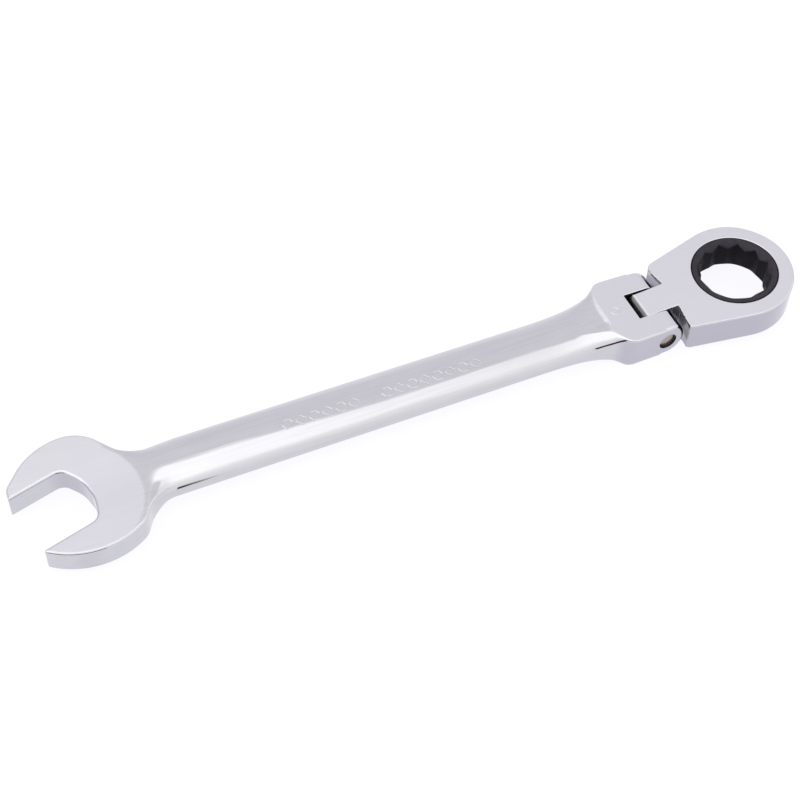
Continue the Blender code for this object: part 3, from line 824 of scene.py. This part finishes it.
def make_gear():
    """The drive gear: twelve-point hole with wide lead-ins, collar and toothed band."""
    half = GEAR_HALF
    loops = []
    angles = gear_angles()
    sections = []
    for angle in angles:
        star = star_radius(angle)
        tooth = tooth_radius(angle)
        drop = MOUTH - star
        upper = [
            (star, half - drop - 0.35),
            (star + 0.02, half - drop - 0.06),
            (star + 0.1, half - drop + 0.1),
            (MOUTH - 0.1, half - 0.1),
            (MOUTH + 0.05, half - 0.01),
            (MOUTH + 0.25, half),
            (COLLAR - 0.34, half),
            (COLLAR - 0.2, half - 0.04),
            (COLLAR - 0.06, half - 0.14),
            (COLLAR, half - 0.3),
            (COLLAR, BAND_TOP + 0.12),
            (COLLAR + 0.05, BAND_TOP),
            (tooth - 0.15, BAND_TOP),
            (tooth, BAND_TOP - 0.15),
        ]
        lower = [
            (tooth, BAND_BOTTOM + 0.15),
            (tooth - 0.15, BAND_BOTTOM),
            (COLLAR + 0.05, BAND_BOTTOM),
            (COLLAR, BAND_BOTTOM - 0.12),
            *[(r, -h) for r, h in reversed(upper[:10])],
        ]
        sections.append(upper + lower)
    for place in range(len(sections[0])):
        loop = []
        for angle, section in zip(angles, sections):
            radius, height = section[place]
            x = REACH + radius * math.cos(angle)
            loop.append((x, radius * math.sin(angle), height))
        loops.append(loop)
    mesh = mesh_of("drive_gear", loops)
    mesh.transform(HEAD_TO_WORLD)
    mesh.set_sharp_from_angle(angle=math.radians(24))
    add_piece("twelve_point_gear", mesh, "drive_gear", "drive_gear", BLACK)


def make_pin():
    """The hinge pin: dished ends below the ears, each inside a serrated crown."""
    count = 96
    serrations = 18
    half = PIN_HALF_LENGTH

    def loop(radius, y, ripple=0.0):
        points = []
        for i in range(count):
            angle = i * math.tau / count
            r = radius + ripple * (0.5 - 0.5 * math.cos(serrations * angle))
            points.append((r * math.cos(angle), y, r * math.sin(angle)))
        return points

    rim = half + 0.9
    end = [
        (0.25, half + 0.38, 0),
        (1.4, half + 0.42, 0),
        (PIN_FACE - 0.25, half + 0.48, 0),
        (PIN_FACE, half + 0.42, 0),
        (PIN_FACE + 0.06, half + 0.1, 0),
        (PIN_FACE + 0.1, half + 0.15, 0.3),
        (PIN_FACE + 0.14, rim - 0.1, 0.32),
        (PIN_FACE + 0.22, rim, 0.26),
        (PIN_RADIUS - 0.06, rim, 0),
        (PIN_RADIUS, rim - 0.1, 0),
    ]
    near = [loop(radius, -y, ripple) for radius, y, ripple in end]
    far = [loop(radius, y, ripple) for radius, y, ripple in reversed(end)]
    mesh = mesh_of("hinge_pin", near + far, closed_profile=False)
    mesh.transform(TO_WORLD)
    mesh.set_sharp_from_angle(angle=math.radians(35))
    add_piece("serrated_pin", mesh, "handle", "hinge_pin", STEEL)


def mark_mesh(name, centre, radius, sides, stroke, top):
    """A raised outline with equal sides, its foot sunk in the surface that top gives."""
    steps = 4
    across = stroke / 2 / math.cos(math.pi / sides)
    profile = [
        (-across - 0.08, -0.1),
        (-across - 0.02, 0.1),
        (-across + 0.1, 0.19),
        (across - 0.1, 0.19),
        (across + 0.02, 0.1),
        (across + 0.08, -0.1),
    ]
    loops = []
    for offset, height in profile:
        loop = []
        for i in range(sides * steps):
            corner, share = divmod(i, steps)
            a = math.tau * corner / sides
            b = math.tau * (corner + 1) / sides
            r = radius + offset
            x = centre[0] + r * (math.cos(a) * (steps - share) + math.cos(b) * share) / steps
            y = centre[1] + r * (math.sin(a) * (steps - share) + math.sin(b) * share) / steps
            loop.append((x, y, top(y) + height))
        loops.append(loop)
    return mesh_of(name, loops)


def shank_top(y):
    """Height of the shank's surface at y."""
    across = (abs(y) / SHANK_HALF_WIDTH) ** SHANK_POWER
    return SHANK_HALF_HEIGHT * (1 - across) ** (1 / SHANK_POWER)


def make_marks():
    """Plain raised outlines where such a wrench carries its maker's and size marks."""
    first = -156.9
    pitch = 5.35
    word_gap = 8.2
    marks = []
    for i in range(14):
        gap = word_gap if i > 5 else 0
        x = first + i * pitch + gap
        sides = 6 if i % 2 == 0 else 4
        marks.append(mark_mesh("mark", (x, -1.1), 2.25, sides, 0.42, shank_top))
    marks.append(mark_mesh("mark", (-16.2, 0.5), 2.0, 6, 0.4, lambda y: FORK_HALF - 0.05))
    joined_mesh = bmesh.new()
    for mark in marks:
        joined_mesh.from_mesh(mark)
        bpy.data.meshes.remove(mark)
    mesh = bpy.data.meshes.new("raised_marks")
    joined_mesh.to_mesh(mesh)
    joined_mesh.free()
    mesh.transform(TO_WORLD)
    mesh.set_sharp_from_angle(angle=math.radians(50))
    add_piece("raised_marks", mesh, "handle", None, HANDLE_CHROME)


def make_coil(name, node, turns, to_world, body):
    """A compression spring with closed ends."""
    inverse = to_world.inverted()
    along = [(inverse @ vertex.co).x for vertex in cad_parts[node].data.vertices]
    low, high = min(along), max(along)
    around = 28
    sides = 10
    closed_pitch = 2.3 * WIRE_RADIUS
    open_length = high - low - 2 * WIRE_RADIUS - 2 * closed_pitch
    loops = []
    for i in range(turns * around + 1):
        turn = i / around
        x = low + WIRE_RADIUS + closed_pitch * (min(turn, 1) + max(turn - turns + 1, 0))
        x += open_length * min(max((turn - 1) / (turns - 2), 0), 1)
        angle = math.tau * turn
        loop = []
        for j in range(sides):
            side = math.tau * j / sides
            r = COIL_RADIUS + WIRE_RADIUS * math.cos(side)
            loop.append((x + WIRE_RADIUS * math.sin(side), r * math.cos(angle), r * math.sin(angle)))
        loops.append(loop)
    mesh = mesh_of(name, loops, closed_profile=False)
    mesh.transform(to_world)
    mesh.set_sharp_from_angle(angle=math.radians(60))
    coil = add_piece(name, mesh, body, node, SPRING)
    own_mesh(coil)


def make_pieces():
    voxel = 0.3 if FINE else 0.6
    share = 0.35
    body = smooth_solid("wrench_body", body_distance, TO_WORLD, voxel, share)
    add_piece("forged_body", body, "handle", "wrench_body", HANDLE_CHROME)
    head = smooth_solid("ratchet_head", head_distance, HEAD_TO_WORLD, voxel, share)
    add_piece("ring_head", head, "flex_head", "ratchet_head", HEAD_CHROME)
    make_gear()
    make_pin()
    make_marks()
    make_coil("pawl_coil", "pawl_spring", 7, HEAD_TO_WORLD, "flex_head")
    make_coil("friction_coil", "friction_spring", 6, TO_WORLD, "handle")
    plain = {"gear_retaining_ring": SPRING, "pawl": STEEL, "friction_ball": SPRING}
    for node, material in plain.items():
        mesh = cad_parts[node].data
        mesh.materials.clear()
        mesh.materials.append(material)


# ---------------------------------------------------------------- studio


def make_floor():
    """A pale floor that glows evenly, just below the wrench."""
    below = 0.0001
    bpy.ops.mesh.primitive_plane_add(size=8, location=(0, 0, -below))
    floor = bpy.context.object
    floor.name = "floor"
    material = new_material("pale_floor", (0.1, 0.1, 0.103), 0.0, 0.9)
    shader = material.node_tree.nodes["Principled BSDF"]
    shader.inputs["Emission Color"].default_value = (0.89, 0.887, 0.925, 1)
    shader.inputs["Emission Strength"].default_value = 1
    floor.data.materials.append(material)


def make_world():
    """A light tent: grey lilac behind the wrench, white overhead and in front."""
    world = bpy.data.worlds.new("light_tent")
    bpy.context.scene.world = world
    world.use_nodes = True
    tree = world.node_tree
    background = tree.nodes["Background"]
    direction = tree.nodes.new("ShaderNodeTexCoord").outputs["Generated"]
    parts = tree.nodes.new("ShaderNodeSeparateXYZ")
    tree.links.new(direction, parts.inputs[0])
    x, y, z = parts.outputs
    front = math_node(tree, "MULTIPLY", y, -1)
    # angle about the wrench's length: 0 at the front horizon, 90 overhead, 180 behind
    turn = math_node(tree, "MULTIPLY", math_node(tree, "ARCTAN2", z, front), 180 / math.pi)
    # the overhead panel reaches further back near the open end
    reach = math_node(tree, "MULTIPLY_ADD", x, -110, 31)
    reach = math_node(tree, "MINIMUM", math_node(tree, "MAXIMUM", reach, 0), 11.5)
    reach = times(tree, reach, step_node(tree, turn, 75, 95))
    turn = math_node(tree, "SUBTRACT", turn, reach)
    stops = [
        (-90, (0.62, 0.62, 0.64)),
        (-4, (0.66, 0.66, 0.67)),
        (28, (0.71, 0.70, 0.70)),
        (52, (0.76, 0.755, 0.75)),
        (70, (0.86, 0.86, 0.86)),
        (84, (0.91, 0.91, 0.91)),
        (108, (0.89, 0.89, 0.89)),
        (112, (0.62, 0.615, 0.635)),
        (128, (0.59, 0.58, 0.61)),
        (148, (0.60, 0.59, 0.62)),
        (168, (0.66, 0.65, 0.68)),
        (180, (0.69, 0.68, 0.70)),
    ]
    colour = ramp_node(tree, turn, stops)
    # a warm dark gap low in front, left of the fork
    height = math_node(tree, "MULTIPLY", math_node(tree, "ARCSINE", z), 180 / math.pi)
    side = math_node(tree, "MULTIPLY", math_node(tree, "ARCTAN2", x, front), 180 / math.pi)
    above = step_node(tree, height, -3, -1)
    below = step_node(tree, height, 23, 20)
    left = step_node(tree, side, 9.8, 8.2)
    right = step_node(tree, side, -60, -50)
    gap = times(tree, above, below, left, right)
    colour = mix_node(tree, gap, colour, (0.05, 0.03, 0.022))
    # the tent is brighter towards the open end
    bright = math_node(tree, "MULTIPLY_ADD", x, -0.8, 1.27)
    shade = math_node(tree, "MINIMUM", math_node(tree, "MAXIMUM", bright, 0.85), 1.14)
    upward = times(tree, step_node(tree, turn, 60, 80), step_node(tree, turn, 112, 108))
    factor = math_node(tree, "MULTIPLY_ADD", math_node(tree, "SUBTRACT", shade, 1), upward, 1)
    strength = 1.6
    tree.links.new(colour, background.inputs["Color"])
    tree.links.new(math_node(tree, "MULTIPLY", factor, strength), background.inputs["Strength"])


def make_camera():
    """Looks down on the wrench from its near side, with the open end nearer."""
    azimuth = math.radians(-28.332)
    elevation = math.radians(51.747)
    roll = math.radians(4.793)
    distance = 0.549407
    target = Vector((-0.013947, -0.001973, HINGE.z))
    back = Vector(
        (
            math.sin(azimuth) * math.cos(elevation),
            -math.cos(azimuth) * math.cos(elevation),
            math.sin(elevation),
        )
    )
    right = back.cross(Vector((0, 0, -1))).normalized()
    up = right.cross(-back)
    tilted_right = math.cos(roll) * right + math.sin(roll) * up
    tilted_up = -math.sin(roll) * right + math.cos(roll) * up
    data = bpy.data.cameras.new("camera")
    data.sensor_width = 36
    data.lens = 64.71
    camera = bpy.data.objects.new("camera", data)
    bpy.context.scene.collection.objects.link(camera)
    turned = Matrix((tilted_right, tilted_up, back)).transposed().to_4x4()
    camera.matrix_world = Matrix.Translation(target + back * distance) @ turned
    bpy.context.scene.camera = camera


make_pieces()
make_floor()
make_world()
make_camera()
bpy.context.scene.view_settings.view_transform = "Standard"
